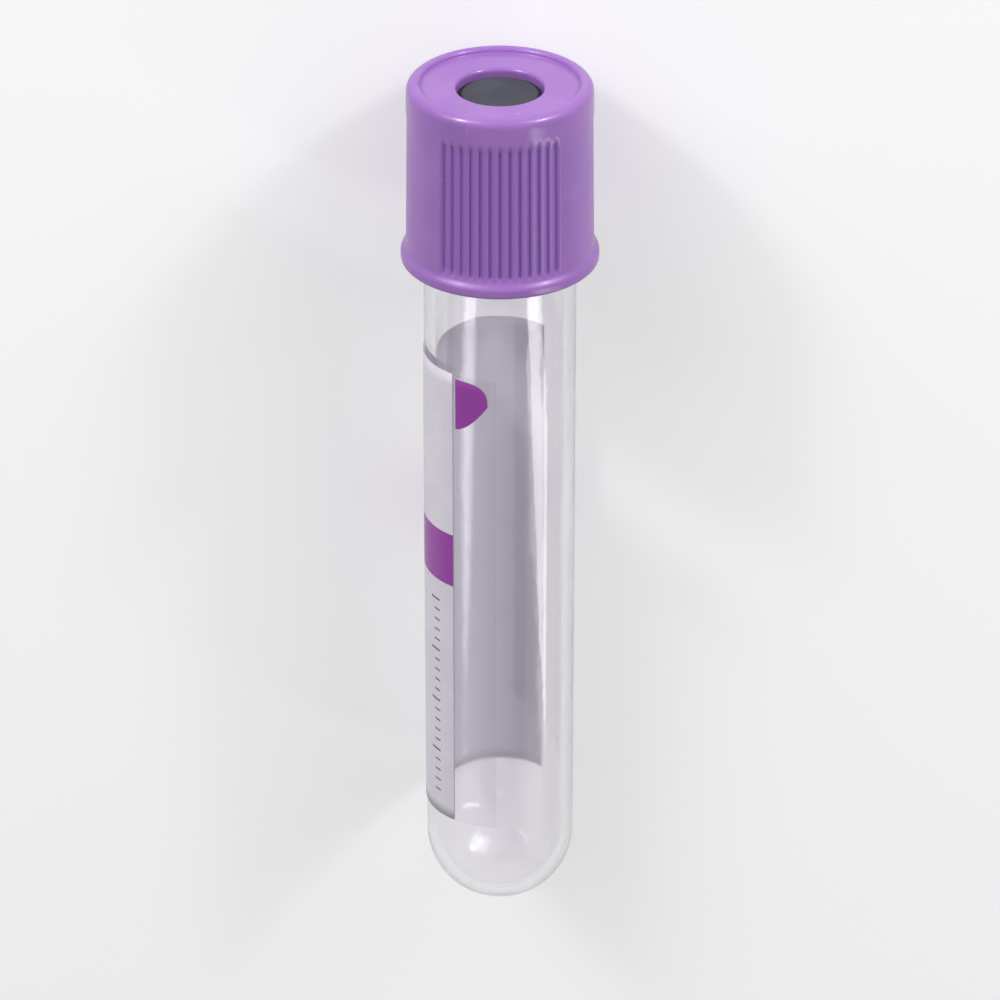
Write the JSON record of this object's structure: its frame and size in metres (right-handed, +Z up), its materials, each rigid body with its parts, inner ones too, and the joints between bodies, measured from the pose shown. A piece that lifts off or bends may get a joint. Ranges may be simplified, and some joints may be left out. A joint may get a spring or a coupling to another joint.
{
  "type": "blood collection tube",
  "caption": "Round-bottomed clear tube with a printed film label, a grey rubber stopper and a lavender safety cap with grip ribs; the closure pulls off.",
  "frame": {"origin": "on the ground, under the middle of the lying tube's box", "axes": "+Z up; the tube lies along Y with its cap at the +Y end; +X is to the right when the tube is seen from above with its cap away from the viewer"},
  "size_m": [0.0168, 0.0788, 0.0167],
  "materials": {
    "tube": "clear moulded polyester, polished",
    "label": "printed film, satin",
    "stopper": "moulded rubber, matte",
    "cap": "moulded lavender plastic, satin"
  },
  "bodies": {
    "tube": {"tube": "tube", "label": "label"},
    "closure": {"stopper": "stopper", "cap": "cap"}
  },
  "joints": [
    {"name": "cap_pull", "type": "slide", "parent": "tube", "child": "closure", "axis": [0, 0.9994, 0.034], "range_m": [0, 0.03]}
  ]
}
